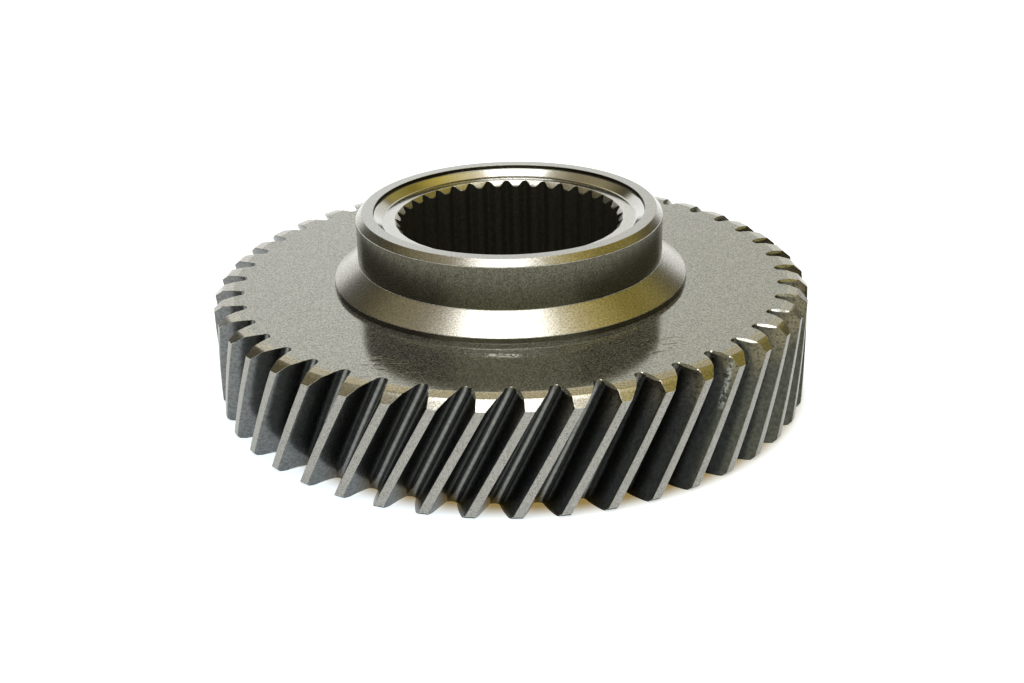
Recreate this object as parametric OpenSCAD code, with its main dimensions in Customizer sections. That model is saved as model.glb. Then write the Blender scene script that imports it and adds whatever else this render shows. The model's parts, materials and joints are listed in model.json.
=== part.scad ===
// Helical gear with a raised hub and a splined bore, machined from one steel forging.
// The gear rests on its plain side: origin at the centre of that face, +Z along the bore.

/* [Teeth] */
// Number of teeth
teeth = 44; // [38:1:60]
// Normal module of the teeth, mm
normal_module = 2.3; // [1.8:0.05:3]
// Helix angle at the pitch circle, right hand, degrees
helix_angle = 27; // [10:0.5:32]
// Normal pressure angle, degrees
pressure_angle = 20; // [17.5:0.5:22.5]
// Profile shift, in modules
profile_shift = 0.08; // [-0.1:0.01:0.25]
// Addendum, in modules
addendum = 1.1; // [0.9:0.05:1.2]
// Dedendum, in modules
dedendum = 1.55; // [1.25:0.05:1.6]
// Depth of the rounded root below the working flank, mm
root_round = 0.85; // [0.5:0.05:1.2]
// Break of the sharp edge and the root where a tooth space runs out at a side, mm
edge_break = 0.15; // [0.05:0.05:0.45]
// Bevel of the blunt edge of each tooth space at a side, measured across the space
blunt_bevel = 0.4; // [0.1:0.05:0.6]
// Height of that bevel, measured down from the side
blunt_bevel_height = 0.75; // [0.5:0.05:1.2]
// Turn of the tooth spaces against the spline grooves on the plain side, degrees
tooth_turn = 3.1; // [-4:0.1:4]

/* [Rim] */
// Width of the toothed rim
face_width = 23; // [15:0.5:35]
// Width of the tip bevel on the hub side, measured along the radius
tip_bevel = 1.75; // [0.5:0.05:2.5]
// Slope of the tip bevel, degrees below the side face
tip_bevel_slope = 41; // [30:1:60]
// Width of the shallow relief inside the tip bevel, measured along the radius
rim_relief = 2.2; // [0.5:0.1:4]
// Fall of the shallow relief
rim_relief_drop = 0.35; // [0.1:0.05:0.8]
// Tip bevel on the plain side
plain_bevel = 0.7; // [0.3:0.1:1.5]

/* [Bore] */
// Number of splines
splines = 36; // [24:1:40]
// Diameter over the tips of the internal splines
spline_minor_d = 43.4; // [42:0.1:45.4]
// Depth of the spline grooves
spline_depth = 1; // [0.6:0.05:1.4]
// Share of the spline pitch that a groove takes at its mouth
groove_mouth_share = 0.7; // [0.55:0.01:0.75]
// Share of the spline pitch that a groove takes at its bottom
groove_floor_share = 0.17; // [0.1:0.01:0.4]

/* [Hub] */
// Height of the hub above the side face
hub_height = 14.3; // [10:0.1:25]
// Flat ring on the recess's floor, round the spline grooves
recess_ledge = 2.5; // [0.5:0.1:4]
// Width of the sloping shoulder round the recess's floor, measured along the radius
recess_shoulder = 1.8; // [0.5:0.1:2.5]
// Height of that shoulder
recess_shoulder_height = 1.1; // [0.4:0.1:2]
// Depth of the recess's upright wall
recess_wall = 0.9; // [0.4:0.1:3]
// Thickness of the hub's rim round the recess
rim_wall = 3.5; // [2.5:0.1:6]
// Bevel round the hub's rim
hub_bevel = 1.2; // [0.4:0.1:2]
// Width of the flare at the hub's foot, measured along the radius
foot_flare = 4.8; // [2:0.1:8]
// Height of the flared foot above the side face
foot_height = 4.6; // [3:0.1:8]
// Height of the small upright step under the flare
foot_step = 1.1; // [0.7:0.1:1.8]
// Fillet between that step and the side face
foot_fillet = 0.3; // [0.2:0.1:0.7]

/* [Hidden] */

// Sizes of the teeth in the plane of rotation
transverse_module = normal_module / cos(helix_angle);
pitch_r = teeth * transverse_module / 2;
tip_r = pitch_r + (addendum + profile_shift) * normal_module;
root_r = pitch_r - (dedendum - profile_shift) * normal_module;
transverse_pressure = atan(tan(pressure_angle) / cos(helix_angle));
base_r = pitch_r * cos(transverse_pressure);
flank_start_r = max(root_r + root_round, base_r);
tooth_half_angle = (180 / teeth) * (0.5 + 2 * profile_shift * tan(pressure_angle) / PI);
twist_per_mm = tan(helix_angle) / pitch_r * 180 / PI;

// Radii of the turned blank, from the splines outwards
spline_minor_r = spline_minor_d / 2;
spline_major_r = spline_minor_r + spline_depth;
shoulder_r = spline_major_r + recess_ledge;
recess_r = shoulder_r + recess_shoulder;
hub_r = recess_r + rim_wall;
foot_r = hub_r + foot_flare;
bevel_r = tip_r - tip_bevel;
relief_r = bevel_r - rim_relief;

// Levels of the turned blank
total_height = face_width + hub_height;
recess_floor_z = total_height - recess_wall - recess_shoulder_height;

// Smoothness of the turned surfaces and points along each curve
$fn = 180;
flank_steps = 3;
root_steps = 3;
helix_steps = 3;
fillet_steps = 4;
overcut = 0.2;

// Involute function of a pressure angle, in degrees
function involute(a) = tan(a) * 180 / PI - a;

// Half the angle that a tooth space spans at radius r, in degrees
function space_half_angle(r) =
    180 / teeth - tooth_half_angle
    - involute(transverse_pressure) + involute(acos(min(1, base_r / r)));

// Level of the hub side at radius r: flat, then the shallow relief, then the tip bevel
function side_z(r) =
    face_width
    - rim_relief_drop * min(1, max(0, r - relief_r) / rim_relief)
    - tan(tip_bevel_slope) * max(0, r - bevel_r);

// How far a tooth space is opened at some depth below a side, at its sharp and its blunt edge
function sharp_opening(depth) = max(0, edge_break - depth);
function blunt_opening(depth) = max(0, blunt_bevel * (1 - depth / blunt_bevel_height));

// Half outline of a tooth space from past the tip down to the root, each point as
// [radius, half width angle, turn of the outline from flank (0) to root floor (90)]
function half_space() = concat(
    [for (i = [0:flank_steps])
        let (r = tip_r + overcut + (flank_start_r - tip_r - overcut) * i / flank_steps)
        [r, space_half_angle(r), 0]],
    [for (i = [1:root_steps])
        let (a = 90 * i / root_steps)
        [flank_start_r - (flank_start_r - root_r) * sin(a),
         space_half_angle(flank_start_r) * cos(a), a]]
);

// Whole outline of a tooth space at one share of its length, at a depth below the side it is
// nearest to. The helix makes its leading edge blunt at the hub side and sharp at the plain side.
function space_outline(share, depth) =
    let (half = half_space(), n = len(half))
    [for (i = [0:2 * n - 2])
        let (leading = i < n,
             p = half[leading ? i : 2 * n - 2 - i],
             top = side_z(p[0]),
             z = share * top + (1 - 2 * share) * depth,
             at_sharp = sharp_opening(leading ? z : top - z),
             at_blunt = blunt_opening(leading ? top - z : z),
             r = p[0] - sin(p[2]) * max(sharp_opening(z), sharp_opening(top - z)),
             half_angle = p[1] + max(at_sharp, at_blunt) * cos(p[2]) / p[0] * 180 / PI,
             a = (leading ? half_angle : -half_angle) + twist_per_mm * z)
        [r * cos(a), r * sin(a), z]];

// Cutter for one tooth space, swept up the helix and opened at both ends
module tooth_space() {
    end_depths = [-overcut, edge_break, blunt_bevel_height];
    rings = concat(
        [for (depth = end_depths) space_outline(0, depth)],
        [for (i = [1:helix_steps - 1]) space_outline(i / helix_steps, blunt_bevel_height)],
        [for (i = [2:-1:0]) space_outline(1, end_depths[i])]
    );
    n = len(rings[0]);
    high = (len(rings) - 1) * n;
    polyhedron(
        points = [for (ring = rings) each ring],
        faces = concat(
            [for (i = [1:n - 2]) [0, i, i + 1]],
            [for (i = [0:(n - 3) / 2])
                each [[high + i + 1, high + i, high + n - 1 - i],
                      if (i < (n - 3) / 2) [high + i + 1, high + n - 1 - i, high + n - 2 - i]]],
            [for (k = [0:len(rings) - 2]) for (i = [0:n - 1])
                let (j = (i + 1) % n, low = k * n, next = low + n)
                each [[low + i, next + i, low + j], [low + j, next + i, next + j]]]
        )
    );
}

// Quarter round in the corner between the side face and the step under the hub's flare
function foot_corner() = [for (i = [0:fillet_steps])
    let (a = 270 - 90 * i / fillet_steps)
    [foot_r + foot_fillet * (1 + cos(a)), face_width + foot_fillet * (1 + sin(a))]];

// Turned blank: bore with bevelled ends, plain side, rim with its bevels, flared hub and recess
module gear_blank() {
    rotate_extrude()
        polygon(concat(
            [[spline_major_r, 0],
             [tip_r - plain_bevel, 0],
             [tip_r, plain_bevel],
             [tip_r, side_z(tip_r)],
             [bevel_r, side_z(bevel_r)],
             [relief_r, face_width]],
            foot_corner(),
            [[foot_r, face_width + foot_step],
             [hub_r, face_width + foot_height],
             [hub_r, total_height - hub_bevel],
             [hub_r - hub_bevel, total_height],
             [recess_r, total_height],
             [recess_r, total_height - recess_wall],
             [shoulder_r, recess_floor_z],
             [spline_major_r, recess_floor_z],
             [spline_minor_r, recess_floor_z - spline_depth],
             [spline_minor_r, spline_depth]]
        ));
}

// Spline grooves as one star-shaped prism, through the whole bore
module spline_grooves() {
    mouth_half = PI * spline_minor_r / splines * groove_mouth_share;
    floor_half = PI * spline_major_r / splines * groove_floor_share;
    inner_r = spline_minor_r - overcut;
    inner_half = mouth_half + (mouth_half - floor_half) / spline_depth * overcut;
    groove = [[inner_r, -inner_half], [spline_major_r, -floor_half],
              [spline_major_r, floor_half], [inner_r, inner_half]];
    translate([0, 0, -overcut])
        linear_extrude(total_height)
            polygon([for (i = [0:splines - 1]) for (p = groove)
                let (a = 360 * i / splines)
                [p[0] * cos(a) - p[1] * sin(a), p[0] * sin(a) + p[1] * cos(a)]]);
}

module helical_gear() {
    color([0.55, 0.56, 0.54])
        difference() {
            gear_blank();
            for (i = [0:teeth - 1])
                rotate(tooth_turn + 360 * i / teeth)
                    tooth_space();
            spline_grooves();
        }
}

helical_gear();
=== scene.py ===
# Helical gear with a raised hub and a splined bore, machined from one piece of steel.
# Shapes are worked out in millimetres and made metres once; angles in radians.
import json
import math

import bmesh
import bpy
from mathutils import Matrix, Vector


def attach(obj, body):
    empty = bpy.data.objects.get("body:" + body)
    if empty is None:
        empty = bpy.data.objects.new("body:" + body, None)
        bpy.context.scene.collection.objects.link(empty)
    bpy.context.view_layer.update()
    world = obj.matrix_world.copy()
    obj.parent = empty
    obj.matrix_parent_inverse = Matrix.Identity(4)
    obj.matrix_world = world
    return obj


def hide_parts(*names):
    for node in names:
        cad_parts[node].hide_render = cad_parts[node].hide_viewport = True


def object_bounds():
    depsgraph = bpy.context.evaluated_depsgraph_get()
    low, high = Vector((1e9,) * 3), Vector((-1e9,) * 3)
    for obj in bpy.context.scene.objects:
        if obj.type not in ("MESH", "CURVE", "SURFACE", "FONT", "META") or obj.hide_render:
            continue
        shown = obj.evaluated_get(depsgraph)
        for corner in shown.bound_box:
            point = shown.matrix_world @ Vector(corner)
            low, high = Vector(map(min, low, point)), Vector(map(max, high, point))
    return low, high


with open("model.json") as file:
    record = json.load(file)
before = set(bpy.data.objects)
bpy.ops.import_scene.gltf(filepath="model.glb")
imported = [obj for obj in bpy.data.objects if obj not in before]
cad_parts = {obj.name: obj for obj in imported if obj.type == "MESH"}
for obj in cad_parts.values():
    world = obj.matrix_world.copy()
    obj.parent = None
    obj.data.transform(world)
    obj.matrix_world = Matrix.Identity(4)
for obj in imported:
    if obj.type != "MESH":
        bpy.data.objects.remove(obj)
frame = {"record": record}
CAD_LOW, CAD_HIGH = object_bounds()
MOUNTS = {mount["name"]: mount for mount in frame["record"]["mounts"]}
MM = 0.001

# Teeth
TEETH = 44
TIP_R = CAD_HIGH.x / MM
NORMAL_MODULE = 2.3
HELIX = math.radians(27)
PRESSURE = math.radians(20)
PROFILE_SHIFT = 0.08
DEDENDUM = 1.55
ROOT_ROUND = 0.85
TOOTH_TURN = math.radians(3.1)
TIP_BREAK = 0.08
SHARP_BREAK = 0.06
BLUNT_BEVEL = 0.28
BLUNT_BEVEL_HEIGHT = 0.48

# Rim between the two side faces
FACE_WIDTH = 23
TIP_BEVEL = 1.75
TIP_BEVEL_SLOPE = math.radians(41)
RIM_RELIEF = 2.2
RIM_RELIEF_DROP = 0.35
PLAIN_BEVEL = 0.7

# Splines
SPLINES = 36
SPLINE_MINOR_R = MOUNTS["splined_bore"]["dims"]["r_mm"]
SPLINE_DEPTH = 1
GROOVE_MOUTH_SHARE = 0.7
GROOVE_FLOOR_SHARE = 0.17
SPLINE_ROUND = 0.18
SPLINE_BREAK = 0.1

# Hub and its recess
TOTAL_HEIGHT = CAD_HIGH.z / MM
HUB_R = MOUNTS["hub_journal"]["dims"]["r_mm"]
HUB_BEVEL = 1.2
RIM_WALL = 3.5
RECESS_WALL = 0.9
RECESS_SHOULDER = 1.8
RECESS_SHOULDER_HEIGHT = 1.1
FOOT_FLARE = 4.8
FOOT_HEIGHT = 4.6
FOOT_STEP = 1.1
FOOT_FILLET = 0.1
FLARE_FILLET = 0.08
WALL_FILLET = 0.15
FLOOR_FILLET = 0.2
CORNER_ROUND = 0.08
WEB_MARGIN = 1.0

# Points along the curves, and the steepest corner that is shaded smooth
ROOT_STEPS = 6
FLANK_STEPS = 4
BEVEL_STEPS = 3
HELIX_STEPS = 16
BREAK_SHARES = (0.2, 1)
HUB_STEPS = 8 * TEETH
SMOOTH_ANGLE = math.radians(38)

# Sizes that follow from those above
PITCH_R = TEETH * NORMAL_MODULE / math.cos(HELIX) / 2
ROOT_R = PITCH_R - (DEDENDUM - PROFILE_SHIFT) * NORMAL_MODULE
TRANSVERSE_PRESSURE = math.atan(math.tan(PRESSURE) / math.cos(HELIX))
BASE_R = PITCH_R * math.cos(TRANSVERSE_PRESSURE)
FLANK_START_R = max(ROOT_R + ROOT_ROUND, BASE_R)
TOOTH_HALF_ANGLE = math.pi / TEETH * (0.5 + 2 * PROFILE_SHIFT * math.tan(PRESSURE) / math.pi)
TWIST = math.tan(HELIX) / PITCH_R
BEVEL_R = TIP_R - TIP_BEVEL
RELIEF_R = BEVEL_R - RIM_RELIEF
SPLINE_MAJOR_R = SPLINE_MINOR_R + SPLINE_DEPTH
RECESS_R = HUB_R - RIM_WALL
RECESS_FLOOR_Z = TOTAL_HEIGHT - RECESS_WALL - RECESS_SHOULDER_HEIGHT
FOOT_R = HUB_R + FOOT_FLARE

# Finishes, in the order of the gear's material slots
WEB, RIM, LEDGE, TURNED, JOURNAL, FLANK, SHEEN_FLANK, ROOT, LAND, BORE = range(10)

# Sizes of the patterns in the steel's surfaces
FINE_GRAIN = 0.3
HOB_GRAIN = 0.6
PORES = 0.16
LATHE_RINGS = 0.25
OIL_FILM = 14
OIL_STAIN = 4

# Flanks as the hob left them
HOBBED_TONES = [(0.36, "#5B5C5B"), (0.64, "#737574")]
HOBBED_ROUGHNESS = 0.24

# Painted warm reflection at the blunt corner of a flank: the radii and the depths below the hub side between
# which it sets in
SHEEN_RADII = (RELIEF_R - 1.5, TIP_R - 0.5)
SHEEN_DEPTHS = (8, 1)

# Handling marks on the hub side: where they lie and how far they reach, the share of the reach that is
# marked in full, and the scale that draws their scratches out along X
MARKS_CORE = 0.4
SCRATCH_SCALE = (0.3, 1, 1)
MARKS = [(Vector((-22.5, -43.5, FACE_WIDTH)), 8), (Vector((27, -37.5, FACE_WIDTH)), 6)]

# Bright lines from one point to another, with half their width: a scuff on the web painted bright as a
# glint, and a bluish line on a flank. The fade is a share of the length at each end, and the core a share of
# the width
LINE_FADE = 0.2
LINE_CORE = 0.3
SCUFF_GLINT = (Vector((-6, -39.9, FACE_WIDTH)), Vector((1, -40.5, FACE_WIDTH)), 1.1)
STREAK = (Vector((38.8, -42.8, 23)), Vector((35.9, -46.6, 13.5)), 0.8)

# Floor and soft box, in metres
FLOOR_SIZE = 6.0
FLOOR_COLOUR = "#F2F2F0"
KEY_PLACE = Vector((-0.08, -0.15, 1.17))
KEY_TILT = math.radians(10)
KEY_SIZE = (0.66, 1.04)
KEY_POWER = 4

# Lift of the floor as it is seen, with a painted warm shadow round the gear: the shadow's centre, and the
# two radii between which it goes from the shadow's warm colour to white
SHADOW_CENTRE = Vector((3.4, -2.2, 0))
FLOOR_SHADOW = (52, "#7E6428")
FLOOR_FAR = (58, "#E6EEF6")

# Camera
CAMERA_TURN = math.radians(-1.05)
CAMERA_AWAY = 301.5
CAMERA_HEIGHT = 141.7
CAMERA_PITCH = math.radians(23.94)
CAMERA_ROLL = math.radians(-1.32)
FOCAL_PIXELS = 1598.1
IMAGE_WIDTH = 1024

# Colours of the room's four sides by the sine of the height above the horizon
BACK_SIDE = [(0, "#FFFFFF"), (0.2, "#F4F4F2"), (0.36, "#E4E4E1"), (0.46, "#DEDDD6"), (0.67, "#CEBF8E"),
             (0.76, "#9A9484"), (0.9, "#B8AC84"), (1, "#E6E0D0")]
LEFT_SIDE = [(0, "#48463F"), (0.41, "#4A4840"), (0.56, "#403A24"), (0.74, "#867D60"), (0.88, "#7E745A"),
             (0.95, "#B4AB94"), (1, "#E6E0D0")]
RIGHT_SIDE = [(0, "#4A4840"), (0.41, "#544E36"), (0.56, "#94874A"), (0.74, "#786A28"), (0.88, "#B8A654"),
              (0.95, "#CCBE90"), (1, "#E6E0D0")]
FRONT_SIDE = [(0, "#D0D0BA"), (0.5, "#CCCCB6"), (0.65, "#7A7864"), (0.8, "#756D52"), (1, "#E6E0D0")]
BACK_RIGHT_SHADE = "#E4E2DA"


def involute(angle):
    """Involute function of a pressure angle."""
    return math.tan(angle) - angle


def space_half_angle(r):
    """Half the angle that a tooth space spans at radius r."""
    at_r = involute(math.acos(min(1, BASE_R / r)))
    return math.pi / TEETH - TOOTH_HALF_ANGLE - involute(TRANSVERSE_PRESSURE) + at_r


def spaced(start, end, steps):
    """Steps evenly spaced values from start on, without the end."""
    return [start + (end - start) * i / steps for i in range(steps)]


def tooth_space():
    """Half outline of a tooth space from the middle of its floor to the tip, each point as
    (radius, half angle, turn of the outline from flank, 0, to floor, a right angle)."""
    depth = FLANK_START_R - ROOT_R
    half = space_half_angle(FLANK_START_R)
    floor = [(FLANK_START_R - depth * math.sin(a), half * math.cos(a), a)
             for a in spaced(math.pi / 2, 0, ROOT_STEPS)]
    radii = spaced(FLANK_START_R, RELIEF_R, FLANK_STEPS) + spaced(RELIEF_R, BEVEL_R, FLANK_STEPS)
    radii += spaced(BEVEL_R, TIP_R - TIP_BREAK, BEVEL_STEPS) + [TIP_R - TIP_BREAK]
    flank = [(r, space_half_angle(r), 0) for r in radii]
    return floor + flank + [(TIP_R, space_half_angle(TIP_R) + TIP_BREAK / TIP_R, 0)]


def spline_groove():
    """Half outline of a spline groove in the same form, from its floor to the spline's tip."""
    outer = math.pi * SPLINE_MAJOR_R / SPLINES * GROOVE_FLOOR_SHARE
    inner = math.pi * SPLINE_MINOR_R / SPLINES * GROOVE_MOUTH_SHARE
    slope = (inner - outer) / SPLINE_DEPTH
    corners = [(SPLINE_MAJOR_R, 0, math.pi / 2),
               (SPLINE_MAJOR_R, outer - SPLINE_ROUND, math.pi / 2),
               (SPLINE_MAJOR_R - SPLINE_ROUND, outer + SPLINE_ROUND * slope, 0),
               (SPLINE_MINOR_R + SPLINE_ROUND, inner - SPLINE_ROUND * slope, 0),
               (SPLINE_MINOR_R, inner + SPLINE_ROUND, 0)]
    return [(r, width / r, turn) for r, width, turn in corners]


def rim_end(r, end, leading):
    """Height of the rim at radius r, at its plain side (0) or hub side (1), with the depth and width of
    its edge: a lens-shaped bevel where the helix makes the edge blunt, a small break where it is sharp."""
    if end == 0:
        height = max(0, r - TIP_R + PLAIN_BEVEL)
    else:
        height = FACE_WIDTH - RIM_RELIEF_DROP * min(1, max(0, r - RELIEF_R) / RIM_RELIEF)
        height -= max(0, r - BEVEL_R) * math.tan(TIP_BEVEL_SLOPE)
    from_middle = (2 * r - ROOT_R - BEVEL_R) / (BEVEL_R - ROOT_R)
    blunt = max(0, 1 - from_middle ** 2) if leading == (end == 1) else 0
    depth = SHARP_BREAK + (BLUNT_BEVEL_HEIGHT - SHARP_BREAK) * blunt
    return height, depth, SHARP_BREAK + (BLUNT_BEVEL - SHARP_BREAK) * blunt


def spline_end(r, end, leading):
    """The same for the splines: both ends are bevelled at 45 degrees and their edges broken alike."""
    drop = SPLINE_MAJOR_R - r
    return (RECESS_FLOOR_Z - drop if end else drop), SPLINE_BREAK, SPLINE_BREAK


def toothed_ring(half, count, start, twist, end_of, steps, finish_of, edge, cap):
    """A ring of teeth as a bmesh: the outline across one tooth is swept from end to end, the tooth's
    two ends are bridged, and the tooth is repeated round the axis."""
    ring = bmesh.new()
    place = ring.verts.layers.int.new("place")
    tip = len(half)
    chain = []
    for number in list(range(1, tip + 1)) + list(range(-tip, 0)):
        vert = ring.verts.new((number, 0, 0))
        vert[place] = number
        chain.append(vert)
    edges = [ring.edges.new(pair) for pair in zip(chain, chain[1:])]
    rows = [(0, share) for share in reversed(BREAK_SHARES)] + [(i / steps, 0) for i in range(steps + 1)]
    rows += [(1, share) for share in BREAK_SHARES]
    last = len(rows) - 1
    bmesh.ops.spin(ring, geom=edges, axis=(0, 0, 1), dvec=(0, 0, 1), angle=0, steps=last)
    row_of = {vert: round(vert.co.z) for vert in ring.verts}
    for face in ring.faces:
        levels = [row_of[vert] for vert in face.verts]
        in_break = max(levels) <= len(BREAK_SHARES) or min(levels) >= last - len(BREAK_SHARES)
        numbers = [vert[place] for vert in face.verts]
        lowest = min(abs(number) for number in numbers)
        face.material_index = edge if in_break else finish_of(lowest, tip, min(numbers) > 0)

    def climbs(line):
        """True for an outline edge on one side of the tooth that leaves the floor's radius."""
        first, second = (vert[place] for vert in line.verts)
        return first * second > 0 and half[abs(first) - 1][0] != half[abs(second) - 1][0]

    ends = [[e for e in ring.edges if all(row_of[v] == row for v in e.verts) and climbs(e)]
            for row in (0, last)]
    pitch = 2 * math.pi / count
    inward = math.copysign(1, half[0][0] - half[-1][0])
    for vert in ring.verts:
        r, half_angle, turn = half[abs(vert[place]) - 1]
        leading = vert[place] > 0
        along, share = rows[row_of[vert]]
        low, low_depth, low_width = end_of(r, 0, leading)
        high, high_depth, high_width = end_of(r, 1, leading)
        low_depth *= 1 - share
        high_depth *= 1 - share
        z = low + low_depth + (high - high_depth - low - low_depth) * along
        grow = share * (high_width if along else low_width)
        angle = half_angle + grow * math.cos(turn) / r
        angle = start + twist * z + (angle if leading else pitch - angle)
        r += inward * grow * math.sin(turn)
        vert.co = (r * math.cos(angle), r * math.sin(angle), z)
    for chains in ends:
        for face in bmesh.ops.bridge_loops(ring, edges=chains)["faces"]:
            face.material_index = cap(face.calc_center_median())
    bmesh.ops.spin(ring, geom=ring.verts[:] + ring.edges[:] + ring.faces[:], axis=(0, 0, 1),
                   angle=pitch * (count - 1), steps=count - 1, use_duplicate=True)
    bmesh.ops.remove_doubles(ring, verts=ring.verts, dist=1e-4)
    return ring


def tooth_finish(lowest, tip, leading):
    """Finish of a strip of the tooth by the number of its lowest point above the middle of the floor."""
    if lowest >= tip - 1:
        return LAND
    if lowest <= ROOT_STEPS // 3:
        return ROOT
    return SHEEN_FLANK if leading else FLANK


def tooth_side(middle):
    """Finish at the side of a tooth: turned bevels at the hub side, and at the plain side one painted dark
    as the shade it faces.
    """
    r = middle.xy.length
    if middle.z < FACE_WIDTH / 2:
        return BORE if r > TIP_R - PLAIN_BEVEL else WEB
    return TURNED if r > RELIEF_R else WEB


def hub_shell():
    """The hub from its foot on the web to the floor of its recess, spun from a half section."""
    shell = bmesh.new()
    section = [(FOOT_R + WEB_MARGIN, FACE_WIDTH, 0),
               (FOOT_R, FACE_WIDTH, FOOT_FILLET),
               (FOOT_R, FACE_WIDTH + FOOT_STEP, CORNER_ROUND),
               (HUB_R, FACE_WIDTH + FOOT_HEIGHT, FLARE_FILLET),
               (HUB_R, TOTAL_HEIGHT - HUB_BEVEL, CORNER_ROUND),
               (HUB_R - HUB_BEVEL, TOTAL_HEIGHT, CORNER_ROUND),
               (RECESS_R, TOTAL_HEIGHT, CORNER_ROUND),
               (RECESS_R, TOTAL_HEIGHT - RECESS_WALL, WALL_FILLET),
               (RECESS_R - RECESS_SHOULDER, RECESS_FLOOR_Z, FLOOR_FILLET),
               (SPLINE_MAJOR_R + SPLINE_ROUND, RECESS_FLOOR_Z, 0)]
    verts = [shell.verts.new((r, 0, z)) for r, z, _ in section]
    for pair in zip(verts, verts[1:]):
        shell.edges.new(pair)
    for vert, (_, _, size) in list(zip(verts, section))[1:-1]:
        bmesh.ops.bevel(shell, geom=[vert], offset=size, offset_type="OFFSET", segments=4, profile=0.5,
                        affect="VERTICES", material=-1)
    bmesh.ops.spin(shell, geom=shell.verts[:] + shell.edges[:], axis=(0, 0, 1), angle=2 * math.pi,
                   steps=HUB_STEPS, use_merge=True)
    bmesh.ops.recalc_face_normals(shell, faces=shell.faces)
    for face in shell.faces:
        face.normal_update()
        middle = face.calc_center_median()
        # The foot's step and its corner take the journal's finish, painted dark there as shade under the
        # flare
        in_foot_corner = face.normal.z < 0.99 and middle.z < FACE_WIDTH + FOOT_STEP - CORNER_ROUND
        if abs(face.normal.z) < 0.1 or in_foot_corner:
            face.material_index = JOURNAL
        elif middle.xy.length < RECESS_R:
            face.material_index = LEDGE
        elif face.normal.z < 0.99:
            face.material_index = TURNED
        else:
            face.material_index = RIM if middle.z > FACE_WIDTH + FOOT_HEIGHT else WEB
    return shell


def gear_mesh():
    """The whole gear: teeth, splines and hub, closed by the web, the recess floor and the plain side."""
    teeth = toothed_ring(tooth_space(), TEETH, TOOTH_TURN, TWIST, rim_end, HELIX_STEPS,
                         tooth_finish, WEB, tooth_side)
    splines = toothed_ring(spline_groove(), SPLINES, 0, 0, spline_end, 1,
                           lambda lowest, tip, leading: BORE, TURNED, lambda middle: TURNED)
    gear = bmesh.new()
    mesh = bpy.data.meshes.new("helical_gear_steel")
    for part in (teeth, splines, hub_shell()):
        part.to_mesh(mesh)
        part.free()
        gear.from_mesh(mesh)
    for level in (0, FACE_WIDTH, RECESS_FLOOR_Z):
        rims = [e for e in gear.edges if e.is_boundary and all(abs(v.co.z - level) < 1e-3 for v in e.verts)]
        filled = bmesh.ops.triangle_fill(gear, edges=rims, use_beauty=True, normal=(0, 0, 1))["geom"]
        for face in filled:
            if isinstance(face, bmesh.types.BMFace):
                face.material_index = LEDGE if level == RECESS_FLOOR_Z else WEB
    bmesh.ops.recalc_face_normals(gear, faces=gear.faces)
    for face in gear.faces:
        face.smooth = True
    bmesh.ops.scale(gear, vec=(MM, MM, MM), verts=gear.verts)
    gear.to_mesh(mesh)
    gear.free()
    mesh.set_sharp_from_angle(angle=SMOOTH_ANGLE)
    return mesh


def linear(colour):
    """An sRGB hex colour as linear RGBA."""
    parts = [int(colour[i:i + 2], 16) / 255 for i in (1, 3, 5)]
    return [c / 12.92 if c <= 0.04045 else ((c + 0.055) / 1.055) ** 2.4 for c in parts] + [1]


def add(tree, kind, values=None, links=None, **settings):
    """Adds a node with its settings, socket values and links."""
    node = tree.nodes.new(kind)
    for name, value in settings.items():
        setattr(node, name, value)
    for socket, value in (values or {}).items():
        node.inputs[socket].default_value = value
    for socket, source in (links or {}).items():
        tree.links.new(source, node.inputs[socket])
    return node


def per_mm(size):
    """Scale of a noise pattern whose grains are about size millimetres."""
    return 1 / (size * MM)


def noise(tree, place, size, detail=2):
    """Noise with grains of about size millimetres."""
    values = {"Scale": per_mm(size), "Detail": detail}
    return add(tree, "ShaderNodeTexNoise", values, {"Vector": place}).outputs["Fac"]


def ramp(tree, factor, stops):
    """Colours along a factor, as (position, colour) from the lowest to the highest."""
    node = add(tree, "ShaderNodeValToRGB", links={"Fac": factor})
    for _ in stops[2:]:
        node.color_ramp.elements.new(1)
    for element, (position, colour) in zip(node.color_ramp.elements, stops):
        element.position = position
        element.color = linear(colour)
    return node.outputs["Color"]


def rise(tree, value, low, high):
    """A soft step from 0 to 1 while a value goes from low to high."""
    return add(tree, "ShaderNodeMapRange", {"From Min": low, "From Max": high}, {"Value": value},
               interpolation_type="SMOOTHSTEP").outputs["Result"]


def remap(tree, value, span, result):
    """A value that runs over one span, made to run over another."""
    values = {"From Min": span[0], "From Max": span[1], "To Min": result[0], "To Max": result[1]}
    return add(tree, "ShaderNodeMapRange", values, {"Value": value}).outputs["Result"]


def blend(tree, factor, first, second):
    """Mixes two colours."""
    return add(tree, "ShaderNodeMix", links={"Factor": factor, "A": first, "B": second},
               data_type="RGBA").outputs["Result"]


def combine(tree, first, second, how):
    """One value worked out from two."""
    return add(tree, "ShaderNodeMath", links={0: first, 1: second}, operation=how).outputs["Value"]


def steel(name):
    """A new metal material: its tree, its shader and the object's own coordinates."""
    material = bpy.data.materials.new(name)
    material.use_nodes = True
    tree = material.node_tree
    shader = tree.nodes["Principled BSDF"]
    shader.inputs["Metallic"].default_value = 1
    place = add(tree, "ShaderNodeTexCoord").outputs["Object"]
    return material, tree, shader, place


def even_steel(name, tones, roughness, size, detail=2):
    """A metal of one roughness, with a grain of two tones."""
    material, tree, shader, place = steel(name)
    shader.inputs["Roughness"].default_value = roughness
    tree.links.new(ramp(tree, noise(tree, place, size, detail), tones), shader.inputs["Base Color"])
    return material


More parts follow.
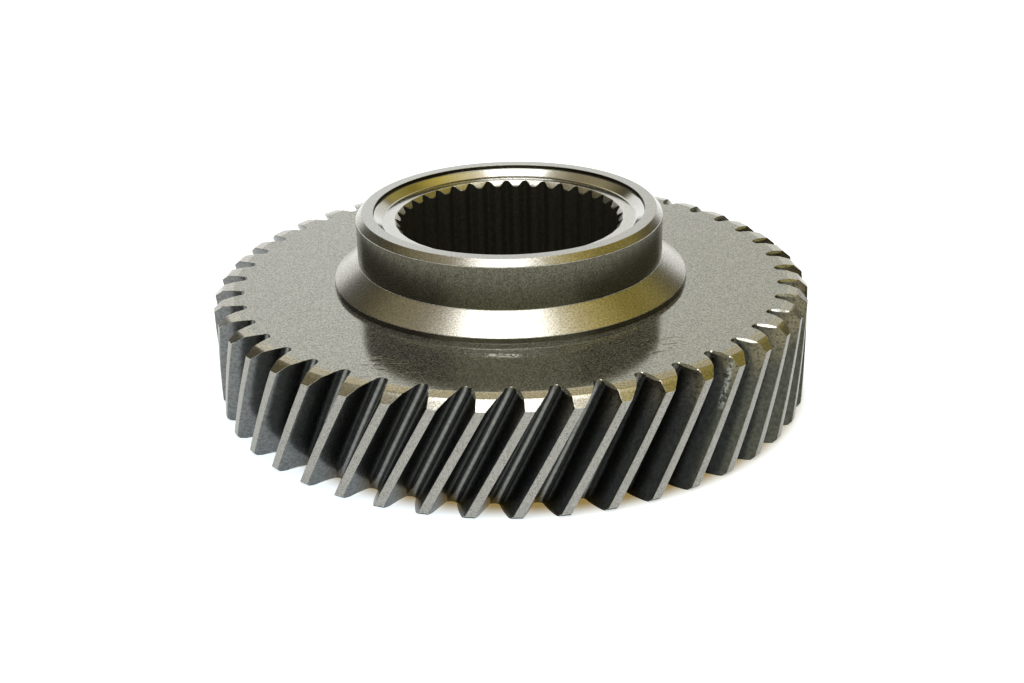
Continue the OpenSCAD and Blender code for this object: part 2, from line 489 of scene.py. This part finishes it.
def handling_marks(tree, place):
    """Short scratches along one direction, only within the marked spots."""
    near = None
    for spot, reach in MARKS:
        away = add(tree, "ShaderNodeVectorMath", {1: spot * MM}, {0: place},
                   operation="DISTANCE").outputs["Value"]
        here = rise(tree, away, reach * MM, MARKS_CORE * reach * MM)
        near = here if near is None else combine(tree, near, here, "MAXIMUM")
    stretched = add(tree, "ShaderNodeMapping", {"Scale": SCRATCH_SCALE}, {"Vector": place}).outputs["Vector"]
    lines = rise(tree, noise(tree, stretched, 1, 3), 0.57, 0.66)
    return combine(tree, near, lines, "MULTIPLY")


def soft_line(tree, place, start, end, width):
    """A soft line from start to end, broken up by noise."""
    way = end - start
    heading = way.normalized()
    length = way.length * MM
    offset = add(tree, "ShaderNodeVectorMath", {1: start * MM}, {0: place},
                 operation="SUBTRACT").outputs["Vector"]
    run = add(tree, "ShaderNodeVectorMath", {1: heading}, {0: offset},
              operation="DOT_PRODUCT").outputs["Value"]
    across = add(tree, "ShaderNodeVectorMath", {1: heading}, {0: offset},
                 operation="CROSS_PRODUCT").outputs["Vector"]
    away = add(tree, "ShaderNodeVectorMath", links={0: across}, operation="LENGTH").outputs["Value"]
    line = combine(tree, rise(tree, run, 0, LINE_FADE * length),
                   rise(tree, run, length, (1 - LINE_FADE) * length), "MULTIPLY")
    line = combine(tree, line, rise(tree, away, width * MM, LINE_CORE * width * MM), "MULTIPLY")
    return combine(tree, line, rise(tree, noise(tree, place, HOB_GRAIN, 3), 0.4, 0.6), "MULTIPLY")


def ground_steel():
    # Ground side faces under a film of oil and dust: an even grey with a fine grain that mirrors the hub
    # through a thin veil, so it is not all metal. One scuff below the hub's foot is painted bright and less
    # metallic as a glint
    material, tree, shader, place = steel("ground_steel_oiled")
    grain = noise(tree, place, FINE_GRAIN)
    film = noise(tree, place, OIL_FILM, 3)
    marks = handling_marks(tree, place)
    tone = ramp(tree, grain, [(0.36, "#9EA098"), (0.64, "#D8D8D2")])
    tone = blend(tree, marks, tone, ramp(tree, grain, [(0.3, "#6E6D63"), (0.7, "#7C7B70")]))
    # Painted glint: a scuff painted bright bluish-white, with less metal
    scuff_glint = soft_line(tree, place, *SCUFF_GLINT)
    tone = blend(tree, scuff_glint, tone, ramp(tree, grain, [(0.3, "#E4ECF2"), (0.7, "#F2F8FC")]))
    rough = remap(tree, film, (0.3, 0.7), (0.1, 0.16))
    metal = remap(tree, grain, (0.36, 0.64), (0.92, 0.76))
    metal = add(tree, "ShaderNodeMath", links={0: metal, 1: scuff_glint}, operation="SUBTRACT",
                use_clamp=True).outputs["Value"]
    bump = add(tree, "ShaderNodeBump", {"Strength": 0.25, "Distance": 0.02 * MM}, {"Height": grain})
    dents = add(tree, "ShaderNodeBump", {"Strength": 0.5, "Distance": 0.05 * MM},
                {"Height": marks, "Normal": bump.outputs["Normal"]}, invert=True)
    tree.links.new(tone, shader.inputs["Base Color"])
    tree.links.new(rough, shader.inputs["Roughness"])
    tree.links.new(dents.outputs["Normal"], shader.inputs["Normal"])
    tree.links.new(metal, shader.inputs["Metallic"])
    return material


def lapped_steel():
    # The hub's rim, lapped: a paler, cleaner grey than the side faces
    return even_steel("lapped_steel", [(0.38, "#CACBC8"), (0.62, "#DCDCDA")], 0.16, FINE_GRAIN)


def faced_steel():
    # Floor and shoulder of the recess, faced on the lathe and never touched since: bright and smooth
    return even_steel("faced_steel_clean", [(0.38, "#EAEAE8"), (0.62, "#F8F8F6")], 0.13, FINE_GRAIN)


def radius_and_height(tree, place):
    """A place's distance from the gear's axis and its height above the plain side."""
    axes = add(tree, "ShaderNodeSeparateXYZ", links={"Vector": place})
    flat = add(tree, "ShaderNodeCombineXYZ", links={"X": axes.outputs["X"], "Y": axes.outputs["Y"]})
    radius = add(tree, "ShaderNodeVectorMath", links={0: flat.outputs["Vector"]}, operation="LENGTH")
    return radius.outputs["Value"], axes.outputs["Z"]


def lathe_rings(tree, place):
    """Fine grooves that change along the radius and the height only, as a lathe tool leaves them."""
    radius, height = radius_and_height(tree, place)
    cut = add(tree, "ShaderNodeCombineXYZ", links={"X": radius, "Y": height})
    grooves = noise(tree, cut.outputs["Vector"], LATHE_RINGS)
    return add(tree, "ShaderNodeBump", {"Strength": 0.15, "Distance": 0.01 * MM},
               {"Height": grooves}).outputs["Normal"]


def turned_steel():
    # Turned on a lathe: a satin grey, with fine rings round the axis that soften every highlight
    material, tree, shader, place = steel("turned_steel_fine")
    tone = ramp(tree, noise(tree, place, FINE_GRAIN), [(0.36, "#C2C0B8"), (0.64, "#EAE8E2")])
    shader.inputs["Roughness"].default_value = 0.27
    tree.links.new(tone, shader.inputs["Base Color"])
    tree.links.new(lathe_rings(tree, place), shader.inputs["Normal"])
    return material


def journal_steel():
    # The hub's upright surfaces: finely turned and mottled by an oil stain. Their darker tone, their
    # darkening towards the top and the dark corner under the flare are painted shade
    material, tree, shader, place = steel("turned_journal_steel")
    grain = noise(tree, place, FINE_GRAIN)
    tone = ramp(tree, grain, [(0.36, "#747268"), (0.64, "#A4A298")])
    _, height = radius_and_height(tree, place)
    up = rise(tree, height, (FACE_WIDTH + FOOT_HEIGHT) * MM, TOTAL_HEIGHT * MM)
    # A mottled stain, plus painted shade that darkens the faces towards the top
    stain_and_height = add(tree, "ShaderNodeMath", {1: 0.6}, {0: noise(tree, place, OIL_STAIN, 4), 2: up},
               operation="MULTIPLY_ADD")
    stain_and_shade = ramp(tree, stain_and_height.outputs["Value"], [(0.2, "#D2D0C6"), (1, "#B2B0A6")])
    tone = add(tree, "ShaderNodeMix", {"Factor": 1}, {"A": tone, "B": stain_and_shade}, data_type="RGBA",
               blend_type="MULTIPLY").outputs["Result"]
    # Painted shade in the corner under the flare
    shade_under_flare = rise(tree, height, (FACE_WIDTH + FOOT_STEP) * MM, (FACE_WIDTH + 0.7 * FOOT_STEP) * MM)
    tone = blend(tree, shade_under_flare, tone, ramp(tree, grain, [(0.36, "#605E56"), (0.64, "#7A7870")]))
    shader.inputs["Roughness"].default_value = 0.23
    tree.links.new(tone, shader.inputs["Base Color"])
    tree.links.new(lathe_rings(tree, place), shader.inputs["Normal"])
    return material


def hobbed_steel():
    # Cut by a hob and left oily: dark, smooth flanks
    return even_steel("hobbed_steel_oily", HOBBED_TONES, HOBBED_ROUGHNESS, HOB_GRAIN, 3)


def sheened_flank_steel():
    # The flanks on the other side of each tooth: painted a brownish grey at the blunt corner by the hub side
    # as a warm reflection, and one of them with a bright bluish line along its tip
    material, tree, shader, place = steel("hobbed_steel_worn")
    grain = noise(tree, place, HOB_GRAIN, 3)
    fine = noise(tree, place, FINE_GRAIN)
    radius, height = radius_and_height(tree, place)
    out = rise(tree, radius, *(r * MM for r in SHEEN_RADII))
    up = rise(tree, height, *((FACE_WIDTH - depth) * MM for depth in SHEEN_DEPTHS))
    # Painted warm reflection where the flank turns into its blunt bevel
    corner = combine(tree, combine(tree, out, up, "MULTIPLY"), rise(tree, grain, 0.25, 0.55), "MULTIPLY")
    tone = ramp(tree, grain, HOBBED_TONES)
    tone = blend(tree, corner, tone, ramp(tree, fine, [(0.36, "#968E7E"), (0.64, "#B4AC9C")]))
    streak = soft_line(tree, place, *STREAK)
    tone = blend(tree, streak, tone, ramp(tree, fine, [(0.3, "#C0C8D0"), (0.7, "#D8E0E8")]))
    shader.inputs["Roughness"].default_value = HOBBED_ROUGHNESS
    tree.links.new(tone, shader.inputs["Base Color"])
    return material


def root_steel():
    # Bottom of the tooth spaces: a lighter streak along each space, a painted reflection
    return even_steel("hobbed_root_steel", [(0.3, "#6A6A68"), (0.7, "#82827E")], 0.3, HOB_GRAIN, 3)


def speckled_steel():
    # Turned tooth tips: pale grey with very fine dark pores
    return even_steel("tooth_tip_steel", [(0.36, "#6E6C68"), (0.56, "#AAA8A2")], 0.4, PORES, 3)


def broached_steel():
    # Broached splines, and the tip bevels of the plain side: dull, and painted dark as shade, in the deep
    # bore and on bevels that face the floor's shadow
    return even_steel("broached_steel_oily", [(0.3, "#464642"), (0.7, "#545450")], 0.75, HOB_GRAIN, 3)


def build_gear():
    gear = bpy.data.objects.new("helical_gear_steel", gear_mesh())
    bpy.context.scene.collection.objects.link(gear)
    for finish in (ground_steel, lapped_steel, faced_steel, turned_steel, journal_steel,
                   hobbed_steel, sheened_flank_steel, root_steel, speckled_steel, broached_steel):
        gear.data.materials.append(finish())
    gear.modifiers.new("even_normals", "WEIGHTED_NORMAL").keep_sharp = True
    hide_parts("helical_gear")
    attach(gear, "root")


def build_floor():
    """A white paper floor. The camera and reflections see it lifted to white, with a painted warm shadow
    under and round the gear.
    """
    mesh = bpy.data.meshes.new("floor")
    plane = bmesh.new()
    bmesh.ops.create_grid(plane, x_segments=1, y_segments=1, size=FLOOR_SIZE / 2)
    plane.to_mesh(mesh)
    plane.free()
    floor = bpy.data.objects.new("floor", mesh)
    bpy.context.scene.collection.objects.link(floor)
    material = bpy.data.materials.new("white_paper_sweep")
    material.use_nodes = True
    tree = material.node_tree
    shader = tree.nodes["Principled BSDF"]
    shader.inputs["Base Color"].default_value = linear(FLOOR_COLOUR)
    shader.inputs["Roughness"].default_value = 0.9
    shader.inputs["Specular IOR Level"].default_value = 0.1
    path = add(tree, "ShaderNodeLightPath")
    seen = combine(tree, path.outputs["Is Camera Ray"], path.outputs["Is Glossy Ray"], "MAXIMUM")
    seen = combine(tree, seen, path.outputs["Is Transmission Ray"], "MAXIMUM")
    place = add(tree, "ShaderNodeTexCoord").outputs["Object"]
    away = add(tree, "ShaderNodeVectorMath", {1: SHADOW_CENTRE * MM}, {0: place},
               operation="DISTANCE").outputs["Value"]
    (shadow_r, near), (far_r, far) = FLOOR_SHADOW, FLOOR_FAR
    # Painted warm shadow round the gear, fading to the white lift
    lift_and_shadow = ramp(tree, rise(tree, away, shadow_r * MM, far_r * MM), [(0, near), (1, far)])
    tree.links.new(lift_and_shadow, shader.inputs["Emission Color"])
    tree.links.new(seen, shader.inputs["Emission Strength"])
    mesh.materials.append(material)


def build_soft_box():
    """An oval soft box above and a little in front of the gear."""
    light = bpy.data.lights.new("soft_box", "AREA")
    light.shape = "ELLIPSE"
    light.size, light.size_y = KEY_SIZE
    light.energy = KEY_POWER
    lamp = bpy.data.objects.new("soft_box", light)
    bpy.context.scene.collection.objects.link(lamp)
    lamp.location = KEY_PLACE
    lamp.rotation_euler.x = KEY_TILT


def build_room():
    """A room that is white behind, pale in front, dark to the left, and warm to the right and above."""
    world = bpy.data.worlds.new("room")
    world.use_nodes = True
    bpy.context.scene.world = world
    tree = world.node_tree
    direction = add(tree, "ShaderNodeTexCoord").outputs["Generated"]
    axes = add(tree, "ShaderNodeSeparateXYZ", links={"Vector": direction})
    flat = add(tree, "ShaderNodeCombineXYZ", links={"X": axes.outputs["X"], "Y": axes.outputs["Y"]})
    heading = add(tree, "ShaderNodeVectorMath", links={0: flat.outputs["Vector"]}, operation="NORMALIZE")
    compass = add(tree, "ShaderNodeSeparateXYZ", links={"Vector": heading.outputs["Vector"]})
    left, right, front, back = (ramp(tree, axes.outputs["Z"], stops)
                                for stops in (LEFT_SIDE, RIGHT_SIDE, FRONT_SIDE, BACK_SIDE))
    to_right = combine(tree, rise(tree, axes.outputs["X"], -0.1, 0.3),
                       rise(tree, axes.outputs["Z"], 0.1, 0.35), "MULTIPLY")
    back = add(tree, "ShaderNodeMix", {"B": linear(BACK_RIGHT_SHADE)}, {"Factor": to_right, "A": back},
               data_type="RGBA", blend_type="MULTIPLY").outputs["Result"]
    room = blend(tree, rise(tree, compass.outputs["X"], -0.3, 0.3), left, right)
    room = blend(tree, rise(tree, compass.outputs["Y"], -0.5, -0.85), room, front)
    lean = add(tree, "ShaderNodeMath", {1: -0.25}, {0: axes.outputs["Z"], 2: compass.outputs["Y"]},
               operation="MULTIPLY_ADD").outputs["Value"]
    room = blend(tree, rise(tree, lean, 0.76, 0.8), room, back)
    tree.links.new(room, tree.nodes["Background"].inputs["Color"])


def build_camera():
    data = bpy.data.cameras.new("camera")
    data.sensor_width = 36
    data.lens = data.sensor_width * FOCAL_PIXELS / IMAGE_WIDTH
    data.clip_start = 0.01
    camera = bpy.data.objects.new("camera", data)
    bpy.context.scene.collection.objects.link(camera)
    turn = Matrix.Rotation(CAMERA_TURN, 4, "Z")
    tilt = Matrix.Rotation(math.pi / 2 - CAMERA_PITCH, 4, "X") @ Matrix.Rotation(CAMERA_ROLL, 4, "Z")
    camera.matrix_world = turn @ Matrix.Translation((0, -CAMERA_AWAY * MM, CAMERA_HEIGHT * MM)) @ tilt
    bpy.context.scene.camera = camera


build_gear()
build_floor()
build_soft_box()
build_room()
build_camera()
bpy.context.scene.view_settings.view_transform = "Standard"
